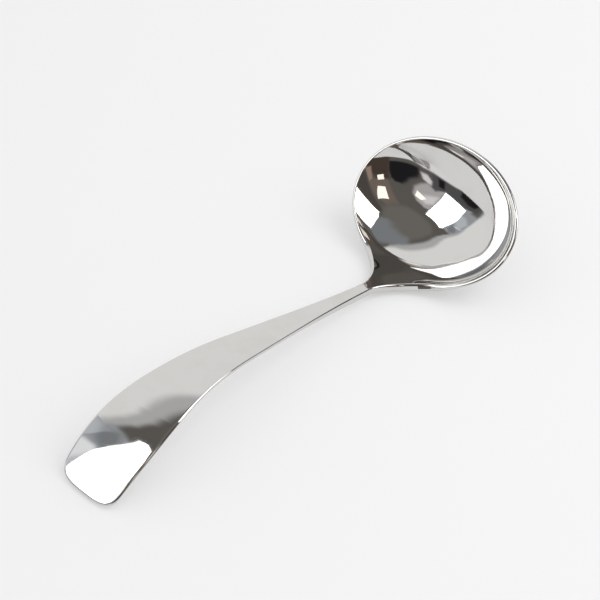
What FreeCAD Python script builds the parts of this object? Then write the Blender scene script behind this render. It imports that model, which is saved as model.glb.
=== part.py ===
import FreeCAD, Part
import math
import os

# Gravy ladle, one stamped and polished piece. Millimetres and degrees.
# It is shaped in the frame of the bowl's rim: X runs from the rim's centre towards the handle,
# Y across, Z up out of the bowl. At the end it is set down on its bowl and on the tip of its handle,
# with the handle towards -X, the middle of its length and width over the origin, and its base at Z 0.

bowl_width = 63.0        # across the handle, at the inner edge of the rim
bowl_length = 46.5       # along the handle
bowl_depth = 14.3
wall_steepening = 0.54   # 0 is a parabola, more makes the wall steeper towards the rim
wall_power = 3.0         # more keeps the steepening nearer to the rim
past_rim = 0.2           # where the wall, run on past the rim, becomes straight, as a share of the oval

sheet = 1.25             # wall of the bowl
neck_thickness = 2.6
end_thickness = 1.3
edge_break = 0.2         # how far the polished corners of the edge are taken off

neck_start = 20.2        # from the rim's centre to where the bowl's wall starts to run on as handle
handle_length = 149.0    # along the curve, from neck_start to the tip
handle_angle = 52.9      # the straight part of the handle over the plane of the rim
tip_angle = -6.0         # the tip of the handle over the plane of the rim
neck_ease = 11.9         # length over which the wall's slope becomes the handle's
thicken_length = 10.0    # from the bowl's sheet to the full thickness of the neck, along X
thicken_lead = 6.0       # how much of that lies before neck_start
thin_start = 12.0        # along the handle, where it starts to get thinner towards the tip
thin_length = 60.0
curl_start = 78.0        # along the handle
curl_power = 1.3         # 1 is an even curve, more is one that tightens
fade_length = 26.0       # length over which the hollow of the bowl fades out of the handle
crown_radius = 115.0     # section of the handle's top, which is slightly domed across
crown_start = 20.0       # along the handle, where the dome starts to grow
crown_length = 50.0

# half widths of the handle at shares of its length
width_at = ((0.10, 1.9), (0.22, 2.6), (0.36, 4.2), (0.52, 6.5), (0.68, 9.25), (0.84, 12.4), (1.0, 11.45))
end_round = 8.0          # length of the rounded end
end_square = 3.3         # 2 is an ellipse, more is squarer

flare_angle = 29.4       # where the rim leaves the oval for the neck, seen from the rim's centre
flare_end = 19.1         # along the handle, where the neck's flare has ended
flare_pull = 0.32
flare_settle = 0.17

grid = 2.2               # spacing of the points that carry the two faces
margin = 1.5             # how far those points reach past the outline

V = FreeCAD.Vector
V2 = FreeCAD.Base.Vector2d

half_l = bowl_length / 2.0
half_w = bowl_width / 2.0


def smooth(t):
    t = min(max(t, 0.0), 1.0)
    return t * t * t * (t * (6.0 * t - 15.0) + 10.0)


def bowl(x, y):
    """Height of the bowl's inside below its rim, run on past the rim."""
    r = (x / half_l) ** 2 + (y / half_w) ** 2
    if r <= 1.0:
        return -bowl_depth * (1.0 - r) * (1.0 + wall_steepening * r ** wall_power)
    slope = bowl_depth * (1.0 + wall_steepening)
    bend = 2.0 * bowl_depth * wall_steepening * wall_power
    t = min(r - 1.0, past_rim)
    return (slope * (r - 1.0) + bend * (t * t / 2.0 - t ** 3 / (6.0 * past_rim))
            + bend * past_rim / 2.0 * (r - 1.0 - t))


def handle_path(steps=600):
    """Middle line of the handle's top as (length, x, z, angle), starting on the bowl's wall."""
    e = 0.001
    wall = math.atan((bowl(neck_start + e, 0) - bowl(neck_start - e, 0)) / (2 * e))
    rise = math.radians(handle_angle)
    drop = math.radians(handle_angle - tip_angle)

    def angle(s):
        curl = min(max((s - curl_start) / (handle_length - curl_start), 0.0), 1.2)
        return rise + (wall - rise) * (1.0 - smooth(s / neck_ease)) - drop * curl ** curl_power

    ds = handle_length / steps
    x, z = neck_start, bowl(neck_start, 0)
    path = [(0.0, x, z, angle(0.0))]
    for i in range(steps + 20):
        mid = angle((i + 0.5) * ds)
        x += math.cos(mid) * ds
        z += math.sin(mid) * ds
        path.append(((i + 1) * ds, x, z, angle((i + 1) * ds)))
    return path


path = handle_path()


def on_path(value, key):
    """Length, x, z and slope of the path where column key has the value (0 is length, 1 is x)."""
    lo, hi = 0, len(path) - 1
    while hi - lo > 1:
        mid = (lo + hi) // 2
        if path[mid][key] <= value:
            lo = mid
        else:
            hi = mid
    a, b = path[lo], path[hi]
    f = (value - a[key]) / (b[key] - a[key])
    h = b[0] - a[0]
    # a cubic between the two points keeps the slope of the path
    ta, tb = math.tan(a[3]), math.tan(b[3])
    w = b[1] - a[1]
    z = ((2 * f ** 3 - 3 * f * f + 1) * a[2] + (f ** 3 - 2 * f * f + f) * w * ta
         + (3 * f * f - 2 * f ** 3) * b[2] + (f ** 3 - f * f) * w * tb)
    return a[0] + f * h, a[1] + f * w, z, ta + f * (tb - ta)


def top(x, y):
    """Height of the upper face: the bowl, and past neck_start the handle."""
    if x <= neck_start:
        return bowl(x, y)
    s, px, z, slope = on_path(x, 1)
    hollow = (1.0 - smooth(s / fade_length)) * (bowl(x, y) - bowl(x, 0.0))
    dome = smooth((s - crown_start) / crown_length) * y * y / (2.0 * crown_radius)
    return z + hollow - dome * math.hypot(1.0, slope)


def normal(x, y):
    e = 0.01
    n = V(-(top(x + e, y) - top(x - e, y)) / (2 * e), -(top(x, y + e) - top(x, y - e)) / (2 * e), 1.0)
    n.normalize()
    return n


def thickness(x):
    s = on_path(x, 1)[0] if x > neck_start else 0.0
    grow = smooth((x - neck_start + thicken_lead) / thicken_length)
    thin = smooth((s - thin_start) / thin_length)
    return sheet + (neck_thickness - sheet) * grow - (neck_thickness - end_thickness) * thin * grow


def upper_point(x, y):
    return V(x, y, top(x, y))


def lower_point(x, y):
    return upper_point(x, y) - normal(x, y) * thickness(x)


def face_surface(point, xs, ys):
    """A smooth surface through point(x, y), whose two parameters are x and y themselves."""
    rows = []
    for x in xs:
        c = Part.BSplineCurve()
        c.interpolate(Points=[point(x, y) for y in ys], Parameters=ys)
        rows.append(c)
    cols = []
    for j in range(rows[0].NbPoles):
        c = Part.BSplineCurve()
        c.interpolate(Points=[r.getPole(j + 1) for r in rows], Parameters=xs)
        cols.append(c)
    poles = [[c.getPole(i + 1) for c in cols] for i in range(cols[0].NbPoles)]
    s = Part.BSplineSurface()
    s.buildFromPolesMultsKnots(poles, cols[0].getMultiplicities(), rows[0].getMultiplicities(),
                               cols[0].getKnots(), rows[0].getKnots(), False, False,
                               cols[0].Degree, rows[0].Degree)
    return s


def spread(first, last, step):
    n = int(math.ceil((last - first) / step))
    return [first + (last - first) * i / n for i in range(n + 1)]


width_curve = Part.BSplineCurve()
width_curve.interpolate(Points=[V(f * handle_length, w, 0) for f, w in width_at],
                        Parameters=[f * handle_length for f, w in width_at])


def half_width(s):
    w = width_curve.value(s).y
    t = max((s - handle_length + end_round) / end_round, 0.0)
    return w * max(1.0 - t ** end_square, 0.0) ** (1.0 / end_square)


def outline():
    """Plan of one side (y > 0) as runs of points: oval rim, flare of the neck, handle, its end."""
    a = math.radians(flare_angle)
    rim = []
    for i in range(25):
        t = math.pi + (a - math.pi) * i / 24.0
        rim.append((half_l * math.cos(t), half_w * math.sin(t)))
    rim[0] = (-half_l, 0.0)
    p0 = rim[-1]
    tx, ty = half_l * math.sin(a), -half_w * math.cos(a)
    tl = math.hypot(tx, ty)
    p3 = (on_path(flare_end, 0)[1], half_width(flare_end))
    d = math.hypot(p3[0] - p0[0], p3[1] - p0[1])
    p1 = (p0[0] + tx / tl * d * flare_pull, p0[1] + ty / tl * d * flare_pull)
    p2 = (p3[0] - d * flare_settle, p3[1])
    flare = []
    for i in range(11):
        q = i / 10.0
        b = ((1 - q) ** 3, 3 * (1 - q) ** 2 * q, 3 * (1 - q) * q * q, q ** 3)
        flare.append(tuple(b[0] * p0[k] + b[1] * p1[k] + b[2] * p2[k] + b[3] * p3[k] for k in (0, 1)))
    side = []
    body = handle_length - end_round
    for i in range(25):
        s = flare_end + (body - flare_end) * i / 24.0
        side.append((on_path(s, 0)[1], half_width(s)))
    side[0] = flare[-1]
    end = [side[-1]]
    for i in range(1, 25):
        q = math.pi / 2 * i / 24.0
        s = body + end_round * math.sin(q) ** (2.0 / end_square)
        w = width_curve.value(s).y * math.cos(q) ** (2.0 / end_square) if i < 24 else 0.0
        end.append((on_path(s, 0)[1], w))
    return [rim, flare, side, end]


def moved_in(runs, distance):
    """The runs moved in from the outline by a distance on the upper face."""
    line = [p for r in runs for p in r[:-1]] + [runs[-1][-1]]
    before = [(line[1][0], -line[1][1])] + line[:-1]
    after = line[1:] + [(line[-2][0], -line[-2][1])]
    moved = []
    for (x, y), p, q in zip(line, before, after):
        inward = (upper_point(*q) - upper_point(*p)).cross(normal(x, y))
        inward.normalize()
        moved.append((x + distance * inward.x, y + distance * inward.y))
    parts, start = [], 0
    for r in runs:
        parts.append(moved[start:start + len(r)])
        start += len(r) - 1
    return parts


def both_sides(runs):
    return runs + [[(x, -y) for x, y in reversed(r)] for r in reversed(runs)]


def lengths(points):
    total = [0.0]
    for p, q in zip(points, points[1:]):
        total.append(total[-1] + math.hypot(q[0] - p[0], q[1] - p[1]))
    return total


def edge_on(surface, points):
    c = Part.Geom2d.BSplineCurve2d()
    c.interpolate([V2(x, y) for x, y in points])
    return c.toShape(surface)


def edge_through(points, plan):
    c = Part.BSplineCurve()
    c.interpolate(Points=points, Parameters=lengths(plan))
    return c.toShape()


tip_x = on_path(handle_length, 0)[1]
xs = spread(-half_l - margin, tip_x + margin, grid)
ys = spread(-half_w - margin, half_w + margin, grid)
upper = face_surface(upper_point, xs, ys)
lower = face_surface(lower_point, xs, ys)

runs = outline()
inner = both_sides(moved_in(runs, edge_break))
outer = both_sides(runs)
rings = [[edge_on(upper, r) for r in inner], [], [], [edge_on(lower, r) for r in inner]]
for r in outer:
    rings[1].append(edge_through([upper.value(x, y) - normal(x, y) * edge_break for x, y in r], r))
    rings[2].append(edge_through([lower.value(x, y) + normal(x, y) * edge_break for x, y in r], r))
faces = [Part.Face(upper, Part.Wire(rings[0])), Part.Face(lower, Part.Wire(rings[3]))]
for ring, next_ring in zip(rings, rings[1:]):
    for up, down in zip(ring, next_ring):
        faces += Part.makeRuledSurface(up, down).Faces
shell = Part.makeShell(faces)
shell.sewShape(0.001)
ladle = Part.makeSolid(shell)
if ladle.Volume < 0:
    ladle.reverse()


bowl_base = [lower_point(-half_l + i * bowl_length / 400.0, 0.0) for i in range(401)]
tip_edge = [lower_point(x, y) for x, y in inner[3]]
tip_edge += [lower_point(x, y) + normal(x, y) * edge_break for x, y in outer[3]]


def lowest(points, tilt):
    """Lowest height of the points when the ladle is tilted by radians."""
    return min(math.cos(tilt) * p.z - math.sin(tilt) * p.x for p in points)


lo, hi = math.radians(5), math.radians(80)
for i in range(60):
    mid = (lo + hi) / 2
    if lowest(tip_edge, mid) > lowest(bowl_base, mid):
        lo = mid
    else:
        hi = mid
rest_tilt = math.degrees((lo + hi) / 2)

ladle.rotate(V(0, 0, 0), V(0, 1, 0), rest_tilt)
ladle.rotate(V(0, 0, 0), V(0, 0, 1), 180)
box = ladle.optimalBoundingBox(False, False)
ladle.translate(V(-(box.XMin + box.XMax) / 2, 0, -box.ZMin))

os.makedirs("parts", exist_ok=True)
ladle.exportStep("parts/ladle.step")
box = ladle.optimalBoundingBox(False, False)
print("valid", ladle.isValid(), "volume", round(ladle.Volume), "rest tilt", rest_tilt)
print("x", box.XMin, box.XMax, "y", box.YMin, box.YMax, "z", box.ZMin, box.ZMax)
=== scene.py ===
import math

import bmesh
import bpy
import numpy as np
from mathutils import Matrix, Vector


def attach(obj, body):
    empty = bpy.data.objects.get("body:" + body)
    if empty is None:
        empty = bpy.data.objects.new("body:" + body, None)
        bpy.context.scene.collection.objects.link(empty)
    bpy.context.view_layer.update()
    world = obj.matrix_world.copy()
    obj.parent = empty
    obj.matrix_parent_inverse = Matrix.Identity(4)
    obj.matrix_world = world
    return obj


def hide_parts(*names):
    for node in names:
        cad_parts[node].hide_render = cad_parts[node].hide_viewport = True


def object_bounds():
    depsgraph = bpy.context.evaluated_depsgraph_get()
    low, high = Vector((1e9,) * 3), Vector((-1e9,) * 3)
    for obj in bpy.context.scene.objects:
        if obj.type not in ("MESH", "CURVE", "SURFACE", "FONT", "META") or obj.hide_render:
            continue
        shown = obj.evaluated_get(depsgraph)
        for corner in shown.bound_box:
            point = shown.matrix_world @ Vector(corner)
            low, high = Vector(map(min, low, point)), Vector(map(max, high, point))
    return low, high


# Looks of the gravy ladle: its polished skin, a pale table, and what the polish mirrors: two soft
# panels, three warm windows, a painted room and a near screen.
# The ladle's sizes are in millimetres, the scene in metres, angles in degrees.

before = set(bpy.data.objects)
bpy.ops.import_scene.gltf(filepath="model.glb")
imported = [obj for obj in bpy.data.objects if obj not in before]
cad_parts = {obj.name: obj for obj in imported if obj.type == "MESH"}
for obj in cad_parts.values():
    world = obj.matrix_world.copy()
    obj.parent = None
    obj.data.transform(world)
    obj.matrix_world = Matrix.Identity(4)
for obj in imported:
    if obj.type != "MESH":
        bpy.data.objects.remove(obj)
cad_low, cad_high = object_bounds()

# sizes of the ladle, the same as in its solid model
bowl_width = 63.0
bowl_length = 46.5
bowl_depth = 14.3
wall_steepening = 0.54
wall_power = 3.0
past_rim = 0.2
sheet = 1.25
neck_thickness = 2.6
end_thickness = 1.3
neck_start = 20.2
handle_length = 149.0
handle_angle = 52.9
tip_angle = -6.0
neck_ease = 11.9
thicken_length = 10.0
thicken_lead = 6.0
thin_start = 12.0
thin_length = 60.0
curl_start = 78.0
curl_power = 1.3
fade_length = 26.0
crown_radius = 115.0
crown_start = 20.0
crown_length = 50.0
width_at = ((0.10, 1.9), (0.22, 2.6), (0.36, 4.2), (0.52, 6.5), (0.68, 9.25), (0.84, 12.4), (1.0, 11.45))
end_round = 8.0
end_square = 3.3
flare_angle = 29.4
flare_end = 19.1
flare_pull = 0.32
flare_settle = 0.17
rest_tilt = 41.398

# rounding of the edge; the starts and lengths are along the handle
edge_share = 0.43        # through the metal, as a share of its thickness
edge_most = 0.8          # through the metal, at the most
shank_share = 0.20       # the same share on the handle's straight part
shank_start = 4.0
shank_ease = 16.0
shank_end = 80.0
shank_fade = 35.0
edge_reach = 0.9         # how much further it reaches over the faces at the handle's end, as a share
reach_start = 90.0
reach_ease = 35.0

# fineness of the skin
path_step = 0.025
path_spare = 3.0         # how far the handle's middle line runs on past the tip
rim_points = 84
flare_points = 34
side_points = 110
end_points = 26
columns = 84             # across the ladle, on each face
edge_steps = 8           # round each corner of the edge
weld = 1e-5              # points nearer than this are one

half_l = bowl_length / 2.0
half_w = bowl_width / 2.0


def smooth(t):
    t = np.clip(t, 0.0, 1.0)
    return t * t * t * (t * (6.0 * t - 15.0) + 10.0)


def bowl(x, y):
    """Height of the bowl's inside below its rim, run on past the rim."""
    r = (x / half_l) ** 2 + (y / half_w) ** 2
    inside = np.minimum(r, 1.0)
    within = -bowl_depth * (1.0 - inside) * (1.0 + wall_steepening * inside ** wall_power)
    slope = bowl_depth * (1.0 + wall_steepening)
    bend = 2.0 * bowl_depth * wall_steepening * wall_power
    out = np.maximum(r - 1.0, 0.0)
    t = np.minimum(out, past_rim)
    return (within + slope * out + bend * (t * t / 2.0 - t ** 3 / (6.0 * past_rim))
            + bend * past_rim / 2.0 * (out - t))


def handle_path():
    """Middle line of the handle's top as arrays of length, x, z and angle."""
    step = path_step
    wall_x = neck_start + np.array([-0.001, 0.001])
    wall = math.atan(np.diff(bowl(wall_x, 0.0))[0] / 0.002)
    rise = math.radians(handle_angle)
    drop = math.radians(handle_angle - tip_angle)
    s = np.arange(0.0, handle_length + path_spare, step)
    mid = s[:-1] + step / 2.0
    curl = np.clip((mid - curl_start) / (handle_length - curl_start), 0.0, 1.2)
    angle = rise + (wall - rise) * (1.0 - smooth(mid / neck_ease)) - drop * curl ** curl_power
    x = neck_start + np.concatenate(([0.0], np.cumsum(np.cos(angle) * step)))
    z = bowl(neck_start, 0.0) + np.concatenate(([0.0], np.cumsum(np.sin(angle) * step)))
    return s, x, z, np.concatenate((angle, angle[-1:]))


path_s, path_x, path_z, path_angle = handle_path()


def along(x):
    """Length along the handle at x, which is 0 in the bowl."""
    return np.interp(x, path_x, path_s)


def top(x, y):
    """Height of the upper face over the plane of the rim: the bowl, and past neck_start the handle."""
    s = along(x)
    fade = 1.0 - smooth(s / fade_length)
    crown = smooth((s - crown_start) / crown_length) * y * y / (2.0 * crown_radius)
    handle = (np.interp(x, path_x, path_z) + fade * (bowl(x, y) - bowl(x, 0.0))
              - crown / np.cos(np.interp(x, path_x, path_angle)))
    return np.where(x <= neck_start, bowl(x, y), handle)


def upper(x, y):
    return np.stack([x, y, top(x, y)], axis=-1)


def unit(v):
    """Vectors of the same direction, 1 long."""
    return v / np.linalg.norm(v, axis=-1, keepdims=True)


def face_normal(face, x, y, e=0.05):
    """Normal of a face from points at a small distance e on both sides."""
    along_x = face(x + e, y) - face(x - e, y)
    along_y = face(x, y + e) - face(x, y - e)
    return unit(np.cross(along_x, along_y))


def thickness(x):
    """Thickness of the metal, which grows from the bowl into the neck and shrinks towards the tip."""
    s = along(x)
    grow = smooth((x - neck_start + thicken_lead) / thicken_length)
    thin = smooth((s - thin_start) / thin_length)
    return sheet + (neck_thickness - sheet) * grow - (neck_thickness - end_thickness) * thin * grow


def lower(x, y):
    return upper(x, y) - face_normal(upper, x, y) * thickness(x)[..., None]


def natural_spline(knots, values):
    """A cubic through the values with free ends, as a function."""
    n = len(knots)
    h = np.diff(knots)
    m = np.zeros((n, n))
    r = np.zeros(n)
    for i in range(1, n - 1):
        m[i, i - 1:i + 2] = h[i - 1], 2.0 * (h[i - 1] + h[i]), h[i]
        r[i] = 6.0 * ((values[i + 1] - values[i]) / h[i] - (values[i] - values[i - 1]) / h[i - 1])
    m[0, 0] = m[-1, -1] = 1.0
    bend = np.linalg.solve(m, r)

    def curve(s):
        i = np.clip(np.searchsorted(knots, s) - 1, 0, n - 2)
        a = (knots[i + 1] - s) / h[i]
        b = (s - knots[i]) / h[i]
        return (a * values[i] + b * values[i + 1]
                + ((a ** 3 - a) * bend[i] + (b ** 3 - b) * bend[i + 1]) * h[i] ** 2 / 6.0)
    return curve


width_curve = natural_spline(np.array([f * handle_length for f, w in width_at]),
                             np.array([w for f, w in width_at]))


def half_width(s):
    """Half width of the handle, with its rounded end."""
    t = np.maximum((s - handle_length + end_round) / end_round, 0.0)
    return width_curve(s) * np.maximum(1.0 - t ** end_square, 0.0) ** (1.0 / end_square)


def outline():
    """Plan of one side (y > 0), from the far side of the rim to the tip of the handle."""
    a = math.radians(flare_angle)
    t = np.linspace(math.pi, a, rim_points)
    rim = np.stack([half_l * np.cos(t), half_w * np.sin(t)], axis=-1)
    rim[0, 1] = 0.0
    p0 = rim[-1]
    leave = unit(np.array([half_l * math.sin(a), -half_w * math.cos(a)]))
    p3 = np.array([np.interp(flare_end, path_s, path_x), half_width(np.array(flare_end))])
    d = np.linalg.norm(p3 - p0)
    p1 = p0 + leave * d * flare_pull
    p2 = p3 - np.array([d * flare_settle, 0.0])
    q = np.linspace(0.0, 1.0, flare_points)[1:, None]
    flare = (1 - q) ** 3 * p0 + 3 * (1 - q) ** 2 * q * p1 + 3 * (1 - q) * q * q * p2 + q ** 3 * p3
    body = handle_length - end_round
    s = np.linspace(flare_end, body, side_points)[1:]
    side = np.stack([np.interp(s, path_s, path_x), half_width(s)], axis=-1)
    q = np.linspace(0.0, math.pi / 2.0, end_points)[1:]
    s = body + end_round * np.sin(q) ** (2.0 / end_square)
    w = width_curve(s) * np.maximum(np.cos(q), 0.0) ** (2.0 / end_square)
    w[-1] = 0.0
    end = np.stack([np.interp(s, path_s, path_x), w], axis=-1)
    return np.concatenate([rim, flare, side, end])


def edge_frame(plan):
    """Upper point, normal and outward direction at each point of one side of the outline."""
    x, y = plan[:, 0], plan[:, 1]
    p = upper(x, y)
    n = face_normal(upper, x, y)
    run = np.gradient(p, axis=0)
    run[0] = run[-1] = 0.0, 1.0, 0.0
    run[-1, 1] = -1.0
    out = unit(np.cross(n, run))
    return p, n, out


def place(points):
    """From the frame of the rim to where the ladle lies, in millimetres."""
    a = math.radians(rest_tilt)
    x = math.cos(a) * points[..., 0] + math.sin(a) * points[..., 2]
    z = -math.sin(a) * points[..., 0] + math.cos(a) * points[..., 2]
    return np.stack([-x, -points[..., 1], z], axis=-1)


def skin():
    """Points and normals of the four parts of the skin: upper face, edge, other edge, lower face."""
    plan = outline()
    p, n, out = edge_frame(plan)
    thick = thickness(plan[:, 0])[:, None]
    length = along(plan[:, :1])
    shank = (smooth((length - shank_start) / shank_ease)
             * (1.0 - smooth((length - shank_end) / shank_fade)))
    deep = np.minimum(thick * (edge_share + (shank_share - edge_share) * shank), edge_most)
    wide = deep * (1.0 + edge_reach * smooth((length - reach_start) / reach_ease))

    # columns across the two faces, closer together near the edge
    inset = p - out * wide
    v = np.sin(np.linspace(-math.pi / 2.0, math.pi / 2.0, columns + 1))
    x = np.repeat(inset[:, :1], columns + 1, axis=1)
    y = inset[:, 1:2] * v[None, :]
    faces = [(upper(x, y), face_normal(upper, x, y)), (lower(x, y), -face_normal(lower, x, y))]

    # the edge's section, from the upper face over two rounded corners to the lower face
    turn = np.linspace(0.0, math.pi / 2.0, edge_steps + 1)
    band_p, band_n = [], []
    for k in turn:
        c, s = math.cos(k), math.sin(k)
        band_p.append(p - n * deep * (1.0 - c) - out * wide * (1.0 - s))
        band_n.append(unit(n * c / deep + out * s / wide))
    for k in turn:
        c, s = math.cos(k), math.sin(k)
        band_p.append(p - n * (thick - deep * (1.0 - s)) - out * wide * (1.0 - c))
        band_n.append(unit(out * c / wide - n * s / deep))
    band_p, band_n = np.stack(band_p, axis=1), np.stack(band_n, axis=1)
    # the band starts and ends on the faces' own border points
    for face, k in ((0, 0), (1, -1)):
        band_p[:, k] = faces[face][0][:, -1]
        band_n[:, k] = faces[face][1][:, -1]
    mirror = np.array([1.0, -1.0, 1.0])
    other_p, other_n = band_p * mirror, band_n * mirror
    return faces[0], (band_p, band_n), (other_p, other_n), faces[1]


def add_rows(bm, normals, grid, grid_normals, flip):
    """Quads between neighbouring rows of points."""
    rows, cols = grid.shape[:2]
    verts = [[bm.verts.new(grid[i, j]) for j in range(cols)] for i in range(rows)]
    normals += [grid_normals[i, j] for i in range(rows) for j in range(cols)]
    for i in range(rows - 1):
        for j in range(cols - 1):
            quad = [verts[i][j], verts[i + 1][j], verts[i + 1][j + 1], verts[i][j + 1]]
            bm.faces.new(quad[::-1] if flip else quad)


def make_ladle():
    """The skin as one mesh that carries its own exact normals."""
    top_face, band, other_band, low_face = skin()
    bm = bmesh.new()
    normals = []
    add_rows(bm, normals, *top_face, flip=False)
    add_rows(bm, normals, *band, flip=False)
    add_rows(bm, normals, *other_band, flip=True)
    add_rows(bm, normals, *low_face, flip=True)
    layer = bm.verts.layers.float_vector.new("skin_normal")
    for vert, n in zip(bm.verts, normals):
        vert[layer] = n
    bmesh.ops.remove_doubles(bm, verts=bm.verts, dist=weld)
    mesh = bpy.data.meshes.new("polished_ladle")
    bm.to_mesh(mesh)
    bm.free()
    count = len(mesh.vertices)
    flat = np.zeros(count * 3)
    mesh.vertices.foreach_get("co", flat)
    points = place(flat.reshape(-1, 3))
    # the rounder edge leaves the skin up to 0.1 mm short of the solid at each side, so it is stretched
    # to the solid's box
    low, high = points.min(axis=0), points.max(axis=0)
    box_low, box_high = np.array(cad_low), np.array(cad_high)
    points = box_low + (points - low) * (box_high - box_low) / (high - low)
    mesh.vertices.foreach_set("co", points.ravel())
    mesh.attributes["skin_normal"].data.foreach_get("vector", flat)
    turned = place(flat.reshape(-1, 3))
    mesh.attributes.remove(mesh.attributes["skin_normal"])
    mesh.polygons.foreach_set("use_smooth", np.ones(len(mesh.polygons), dtype=bool))
    mesh.update()
    mesh.normals_split_custom_set_from_vertices(turned.tolist())
    piece = bpy.data.objects.new("polished_ladle", mesh)
    bpy.context.scene.collection.objects.link(piece)
    return piece


# MATERIALS


def new_material(name):
    """A material with its nodes, links and surface shader."""
    mat = bpy.data.materials.new(name)
    mat.use_nodes = True
    nodes = mat.node_tree.nodes
    return mat, nodes, mat.node_tree.links, nodes["Principled BSDF"]


def steel():
    """Mirror polish with faint waviness of pressed sheet, fine lines from polishing and smudges."""
    mat, nodes, links, bsdf = new_material("polished_steel")
    bsdf.inputs["Metallic"].default_value = 1.0
    place_node = nodes.new("ShaderNodeTexCoord")

    def noise(scale, detail, rough, stretch=(1.0, 1.0, 1.0)):
        squeeze = nodes.new("ShaderNodeVectorMath")
        squeeze.operation = "MULTIPLY"
        squeeze.inputs[1].default_value = stretch
        links.new(place_node.outputs["Object"], squeeze.inputs[0])
        tex = nodes.new("ShaderNodeTexNoise")
        tex.inputs["Scale"].default_value = scale
        tex.inputs["Detail"].default_value = detail
        tex.inputs["Roughness"].default_value = rough
        links.new(squeeze.outputs[0], tex.inputs["Vector"])
        return tex.outputs["Fac"]

    def spread(value, low, high, to_low, to_high):
        node = nodes.new("ShaderNodeMapRange")
        node.inputs["From Min"].default_value = low
        node.inputs["From Max"].default_value = high
        node.inputs["To Min"].default_value = to_low
        node.inputs["To Max"].default_value = to_high
        links.new(value, node.inputs["Value"])
        return node.outputs["Result"]

    def add(a, b):
        node = nodes.new("ShaderNodeMath")
        node.operation = "ADD"
        links.new(a, node.inputs[0])
        links.new(b, node.inputs[1])
        return node.outputs[0]

    # the polishing lines run along the handle
    lines = noise(scale=260.0, detail=3.0, rough=0.6, stretch=(1.0, 24.0, 24.0))
    smudge = noise(scale=75.0, detail=4.0, rough=0.55)
    wave = noise(scale=85.0, detail=1.0, rough=0.4)

    # colour: a touch warmer and darker where the smudges are
    tint = nodes.new("ShaderNodeMix")
    tint.data_type = "RGBA"
    tint.inputs["A"].default_value = (0.675, 0.668, 0.658, 1.0)
    tint.inputs["B"].default_value = (0.635, 0.624, 0.606, 1.0)
    links.new(spread(smudge, 0.45, 0.75, 0.0, 1.0), tint.inputs["Factor"])
    links.new(tint.outputs["Result"], bsdf.inputs["Base Color"])

    # roughness: more in the lines and in the smudges
    rough = add(spread(lines, 0.35, 0.75, 0.012, 0.045), spread(smudge, 0.4, 0.75, 0.0, 0.045))
    links.new(rough, bsdf.inputs["Roughness"])

    # relief: the sheet's waves, and the lines over them
    swell = nodes.new("ShaderNodeBump")
    swell.inputs["Strength"].default_value = 1.0
    swell.inputs["Distance"].default_value = 0.00006
    links.new(wave, swell.inputs["Height"])
    scratch = nodes.new("ShaderNodeBump")
    scratch.inputs["Strength"].default_value = 0.35
    scratch.inputs["Distance"].default_value = 0.000002
    links.new(lines, scratch.inputs["Height"])
    links.new(swell.outputs["Normal"], scratch.inputs["Normal"])
    links.new(scratch.outputs["Normal"], bsdf.inputs["Normal"])
    return mat


def seen(nodes, links):
    """1 for the rays that show a thing to the camera or in a mirror, 0 for those that light others."""
    path = nodes.new("ShaderNodeLightPath")
    value = path.outputs["Is Camera Ray"]
    for kind in ("Is Glossy Ray", "Is Transmission Ray"):
        either = nodes.new("ShaderNodeMath")
        either.operation = "MAXIMUM"
        links.new(value, either.inputs[0])
        links.new(path.outputs[kind], either.inputs[1])
        value = either.outputs[0]
    return value


def table_white(lift=0.38):
    """Matt white that keeps its shadows, lifted by a share of plain white where it is seen."""
    mat, nodes, links, bsdf = new_material("table_white")
    bsdf.inputs["Base Color"].default_value = (0.9, 0.9, 0.9, 1.0)
    bsdf.inputs["Roughness"].default_value = 0.9
    bsdf.inputs["Specular IOR Level"].default_value = 0.1
    emit = nodes.new("ShaderNodeEmission")
    emit.inputs["Color"].default_value = (0.91, 0.91, 0.91, 1.0)
    share = nodes.new("ShaderNodeMath")
    share.operation = "MULTIPLY"
    share.inputs[1].default_value = lift
    links.new(seen(nodes, links), share.inputs[0])
    mix = nodes.new("ShaderNodeMixShader")
    links.new(share.outputs[0], mix.inputs[0])
    links.new(bsdf.outputs["BSDF"], mix.inputs[1])
    links.new(emit.outputs["Emission"], mix.inputs[2])
    links.new(mix.outputs["Shader"], nodes["Material Output"].inputs["Surface"])
    return mat


def glow(name, colour, strength=1.0):
    """A material that only gives light."""
    mat = bpy.data.materials.new(name)
    mat.use_nodes = True
    nodes, links = mat.node_tree.nodes, mat.node_tree.links
    nodes.remove(nodes["Principled BSDF"])
    emit = nodes.new("ShaderNodeEmission")
    emit.inputs["Color"].default_value = (*colour, 1.0)
    emit.inputs["Strength"].default_value = strength
    links.new(emit.outputs["Emission"], nodes["Material Output"].inputs["Surface"])
    return mat


# STAGE

bowl_at = Vector((0.067, 0.0, 0.02))   # what the room's angles are measured from
room_distance = 5.0
screen_distance = 0.5
right_distance = 1.0
window_distance = 1.5
panel_strength = 3.0
window_strength = 1.6
table_mirrored = 0.19                  # radius of the part of the table that the polish mirrors
table_radius = 9.0
table_turns = 96


def direction(azimuth, elevation):
    """From the middle out: azimuth 0 is towards -Y and 90 towards +X."""
    a, e = math.radians(azimuth), math.radians(elevation)
    return Vector((math.sin(a) * math.cos(e), -math.cos(a) * math.cos(e), math.sin(e)))


def toward(azimuth, elevation, distance):
    return bowl_at + distance * direction(azimuth, elevation)


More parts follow.
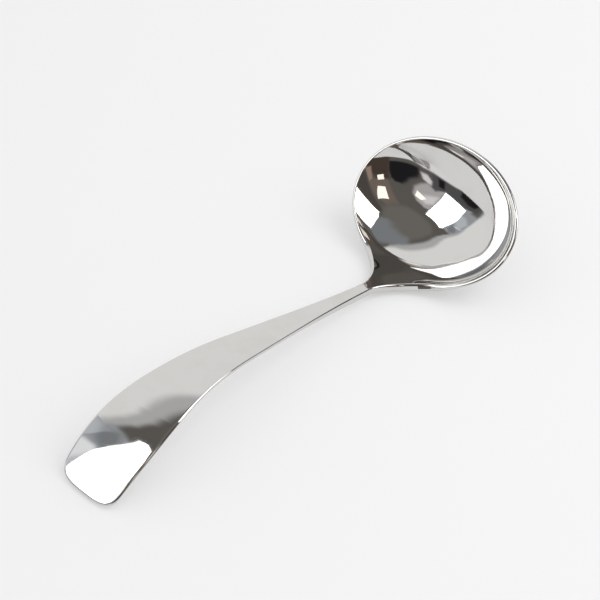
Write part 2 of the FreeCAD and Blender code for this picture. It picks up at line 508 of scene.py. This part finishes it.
def sheet_of(name, verts, rows, columns, material):
    """A sheet of the room from a grid of points, which is only seen mirrored."""
    quads = []
    for i in range(rows - 1):
        for j in range(columns - 1):
            m = i * columns + j
            quads.append((m, m + 1, m + columns + 1, m + columns))
    mesh = bpy.data.meshes.new(name)
    mesh.from_pydata(verts, [], quads)
    mesh.materials.append(material)
    obj = bpy.data.objects.new(name, mesh)
    bpy.context.scene.collection.objects.link(obj)
    obj.visible_camera = False
    obj.visible_diffuse = False
    obj.visible_shadow = False
    obj.visible_transmission = False
    return obj


def card(name, left, right, distances, material, steps=8):
    """A bent sheet between two sides, whose points are seen from the bowl at these angles.

    Each row from foot to top has its own distance."""
    t = np.linspace(0.0, 1.0, steps + 1)[None, :, None]
    grid = np.array(left, float)[:, None, :] * (1.0 - t) + np.array(right, float)[:, None, :] * t
    verts = [toward(a, e, d) for row, d in zip(grid, distances) for a, e in row]
    return sheet_of(name, verts, len(left), steps + 1, material)


# the room's colours
white_wall = (0.93, 0.93, 0.92)
dim_wall = (0.54, 0.54, 0.535)
grey_blue = (0.40, 0.42, 0.45)
light_blue = (0.60, 0.635, 0.67)
slate = (0.25, 0.265, 0.28)
lilac_grey = (0.52, 0.50, 0.51)
lilac_light = (0.86, 0.83, 0.84)
brown = (0.21, 0.165, 0.14)
deep_brown = (0.075, 0.058, 0.045)
tan = (0.38, 0.28, 0.22)
dark_brown = (0.095, 0.082, 0.075)
dusk = (0.14, 0.135, 0.13)
low_ceiling = (0.135, 0.127, 0.117)
ceiling = (0.185, 0.172, 0.155)
charcoal = (0.10, 0.10, 0.10)
near_black = (0.017, 0.016, 0.018)
strip_white = (0.99, 1.01, 1.03)

# The room that the polish mirrors, as patches that lie one over another. Each has a colour, the width
# of its soft edge in degrees, and its corners as azimuth and elevation seen from the bowl.
room = (
    (low_ceiling, 5.0, ((-200, -30), (-200, 70), (-100, 68), (-60, 62), (-20, 69), (20, 76), (100, 55),
                        (140, 70), (200, 72), (200, -30))),
    (slate, 6.0, ((22, 80), (60, 66), (80, 50), (99, 48), (108, 58), (132, 62), (130, 72), (100, 79),
                  (50, 82))),
    (dim_wall, 3.0, ((-200, -30), (-141, -30), (-140, 15), (-142, 30), (-150, 40), (-156, 48), (-161, 57),
                     (-171, 63), (-200, 66))),
    (dim_wall, 3.0, ((116, -30), (116, 36), (108, 48), (112, 58), (120, 62), (140, 64.5), (200, 65),
                     (200, -30))),
    (white_wall, 3.0, ((-200, -30), (-149, -30), (-147, 4), (-147, 15), (-149, 25), (-153, 32), (-158, 39),
                       (-162, 46), (-166, 51), (-173, 55), (-200, 57))),
    (white_wall, 3.0, ((113, -30), (113, 36), (108, 46), (111, 53), (118, 57), (140, 57), (160, 56),
                       (200, 57), (200, -30))),
    (grey_blue, 2.0, ((-146, -7), (-128, -7), (-128, 50), (-138, 56), (-152, 52), (-158, 48), (-154, 38),
                      (-148, 22), (-146, 4))),
    (light_blue, 3.5, ((-130, 20), (-131, 32), (-140, 37), (-148, 36), (-146, 22), (-138, 18))),
    (slate, 3.0, ((-136, 41), (-140, 50), (-152, 51), (-154, 44), (-149, 40))),
    (dusk, 3.0, ((-139, -7), (-137, 8), (-146, 5), (-146, -7))),
    (lilac_grey, 2.0, ((-104, 6), (-99, 20), (-92, 50), (-84, 51), (-73, 46), (-70, 38), (-73, 27),
                       (-79, 19), (-85, 13), (-92, 17), (-98, 11))),
    (lilac_light, 4.0, ((-97, 22), (-94, 38), (-84, 44), (-77, 40), (-80, 33), (-90, 26))),
    (lilac_light, 1.5, ((-81, 7), (-82, 12), (-88, 13), (-89, 8), (-86, 5))),
    (brown, 3.0, ((-49, 34), (-50, 62), (-30, 67), (-17, 58), (-14, 33), (-30, 33))),
    (deep_brown, 3.0, ((-50, -5), (-51, 33), (-30, 33), (-24, 20), (-14, 3), (-10, -5))),
    (tan, 2.0, ((-23, 9), (-23, 32), (-15, 34), (-13, 10))),
    (dark_brown, 3.0, ((-11, -7), (-11, 66), (-6, 72), (14, 74), (20, 28), (113, 28), (113, -7))),
    (dusk, 3.0, ((56, 28), (82, 53), (99, 48), (111, 40), (111, 28))),
    (charcoal, 1.0, ((-143, -5), (-141, 3), (-131, 8), (-104, 8), (-97, 12), (-90, 14), (-90, 2), (-94, -2),
                     (-104, -4), (-118, -6), (-130, -7))),
    (near_black, 1.5, ((-140, -5), (-136, 1), (-128, 3), (-118, 1), (-119, -6), (-130, -7))),
    (near_black, 1.0, ((-101, -1), (-101, 7), (-95, 8), (-95, 0))),
    (near_black, 2.0, ((-80, 4), (-80, 9), (-78, 14), (-71, 21), (-67, 28), (-63, 33), (-57, 34), (-53, 30),
                       (-51, 20), (-50, 4), (-68, 4))),
    (white_wall, 1.0, ((-200, -30), (-200, -4), (-149, -3), (-143, -5), (-130, -7), (-120, -6), (-112, -4),
                       (-98, -2), (-92, -1), (-84, 1), (-80, 0), (-72, -2), (-60, -3), (-45, -5), (100, -5),
                       (100, -30))),
)
# a pale strip of wall that the near screen hides from the bowl but not from the handle's end
strip = ((strip_white, 2.0, ((-139.5, 5), (-139.5, 39), (-143.5, 39), (-147, 36), (-150, 33),
                             (-150, 5))),)


def inside(azimuth, elevation, corners):
    """Degrees that points lie inside a patch, less than 0 outside it."""
    nearest = np.full(azimuth.shape, 1e9)
    within = np.zeros(azimuth.shape, dtype=bool)
    for (ax, ay), (bx, by) in zip(corners, corners[1:] + corners[:1]):
        dx, dy = bx - ax, by - ay
        t = np.clip(((azimuth - ax) * dx + (elevation - ay) * dy) / (dx * dx + dy * dy), 0.0, 1.0)
        nearest = np.minimum(nearest, np.hypot(azimuth - ax - t * dx, elevation - ay - t * dy))
        if ay != by:
            crosses = (ay > elevation) != (by > elevation)
            within ^= crosses & (azimuth < ax + (elevation - ay) * dx / dy)
    return np.where(within, nearest, -nearest)


def painted(name, a, e, distance, patches, material):
    """Part of a sphere round the bowl, coloured by patches that lie one over another."""
    colour = np.empty(a.shape + (4,))
    colour[...] = (*ceiling, 1.0)
    for shade, soft, corners in patches:
        share = smooth((inside(a, e, corners) + soft) / (2.0 * soft))[..., None]
        colour[..., :3] = colour[..., :3] * (1.0 - share) + np.array(shade) * share
    verts = [toward(azimuth, elevation, distance) for azimuth, elevation in zip(a.flat, e.flat)]
    part = sheet_of(name, verts, *a.shape, material)
    layer = part.data.color_attributes.new("paint", "FLOAT_COLOR", "POINT")
    layer.data.foreach_set("color", colour.ravel())


def make_room():
    """The dome and the screen, both coloured by their points."""
    mat = glow("room_glow", (1.0, 1.0, 1.0))
    nodes, links = mat.node_tree.nodes, mat.node_tree.links
    paint = nodes.new("ShaderNodeAttribute")
    paint.attribute_name = "paint"
    links.new(paint.outputs["Color"], nodes["Emission"].inputs["Color"])
    e, a = np.meshgrid(np.arange(-12.0, 90.01, 1.0), np.arange(-180.0, 180.01, 1.0), indexing="ij")
    painted("room", a, e, room_distance, room + strip, mat)

    # the screen has the room's own colours, a level foot and a top that falls to one side
    t, a = np.meshgrid(np.linspace(0.0, 1.0, 38), np.arange(-152.0, -135.4, 0.5), indexing="ij")
    foot = 3.0
    top_edge = np.interp(a, (-152.0, -147.0, -141.0, -136.0), (30.5, 35.0, 38.0, 41.0))
    painted("screen", a, foot + (top_edge - foot) * t, screen_distance, room, mat)


def make_table():
    """A round middle that the polish mirrors, and the rest, beyond which the painted room shows."""
    n = table_turns
    turns = [2.0 * math.pi * k / n for k in range(n)]
    inner, outer = [[(bowl_at.x + r * math.cos(t), r * math.sin(t), 0.0) for t in turns]
                    for r in (table_mirrored, table_radius)]
    around = [(n + k, n + (k + 1) % n, (k + 1) % n, k) for k in range(n)]
    mat = table_white()
    for name, verts, quads in (("table", inner, [tuple(range(n))]),
                               ("table_beyond", inner + outer, around)):
        mesh = bpy.data.meshes.new(name)
        mesh.from_pydata(verts, [], quads)
        mesh.materials.append(mat)
        table = bpy.data.objects.new(name, mesh)
        bpy.context.scene.collection.objects.link(table)
        table.visible_glossy = name == "table"


def make_stage():
    make_table()
    make_room()
    panel = glow("panel_light", (1.0, 1.0, 1.0), panel_strength)
    card("left_panel",
         [(-130, 10), (-130.5, 18), (-132.5, 27), (-134, 35), (-135, 44), (-138, 53), (-141, 56),
          (-138, 59.5)],
         [(-103, 9), (-101, 17), (-99, 26), (-97, 35), (-95, 44), (-93, 52), (-93, 56), (-93, 60)],
         [0.9, 0.9, 0.9, 0.9, 0.95, 1.1, 1.25, 1.3], panel)
    right = card("right_panel",
                 [(18, 18), (18, 29), (15, 45), (12, 57), (11, 66), (11, 73)],
                 [(48, 24), (55, 34), (69, 47), (79, 55), (68, 65), (36, 74)],
                 [right_distance] * 6, panel)
    right.visible_diffuse = True   # it also lights the table
    warm = glow("warm_light", (1.0, 0.95, 0.86), window_strength)
    for name, left_side, right_side in (
            ("window_a", [(-43, 45), (-42, 53), (-40, 60)], [(-30, 45), (-24, 54), (-19, 61)]),
            ("window_b", [(-44, 27), (-44, 35)], [(-33, 28), (-34, 36)]),
            ("window_c", [(-84, 36), (-78, 42)], [(-75, 31), (-72, 40)])):
        card(name, left_side, right_side, [window_distance] * len(left_side), warm)


def make_world(lights=0.79, looks=0.93):
    """Plain white all round, a little brighter where it is seen than what it gives as light."""
    world = bpy.data.worlds.new("studio")
    bpy.context.scene.world = world
    world.use_nodes = True
    nodes, links = world.node_tree.nodes, world.node_tree.links
    back = nodes["Background"]
    back.inputs["Color"].default_value = (1.0, 1.0, 1.0, 1.0)
    mix = nodes.new("ShaderNodeMix")
    mix.inputs["A"].default_value = lights
    mix.inputs["B"].default_value = looks
    links.new(seen(nodes, links), mix.inputs["Factor"])
    links.new(mix.outputs["Result"], back.inputs["Strength"])


def make_camera():
    target = Vector((0.02045, 0.01493, 0.0))
    azimuth, elevation, distance = -45.38, 41.876, 0.700
    back = direction(azimuth, elevation)
    data = bpy.data.cameras.new("camera")
    data.lens = 128.2
    data.sensor_width = 36.0
    cam = bpy.data.objects.new("camera", data)
    cam.location = target + back * distance
    cam.rotation_mode = "QUATERNION"
    cam.rotation_quaternion = (-back).to_track_quat("-Z", "Y")
    bpy.context.scene.collection.objects.link(cam)
    bpy.context.scene.camera = cam


ladle = make_ladle()
ladle.data.materials.append(steel())
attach(ladle, "root")
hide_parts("ladle")

make_stage()
make_world()
make_camera()
bpy.context.scene.view_settings.view_transform = "Standard"
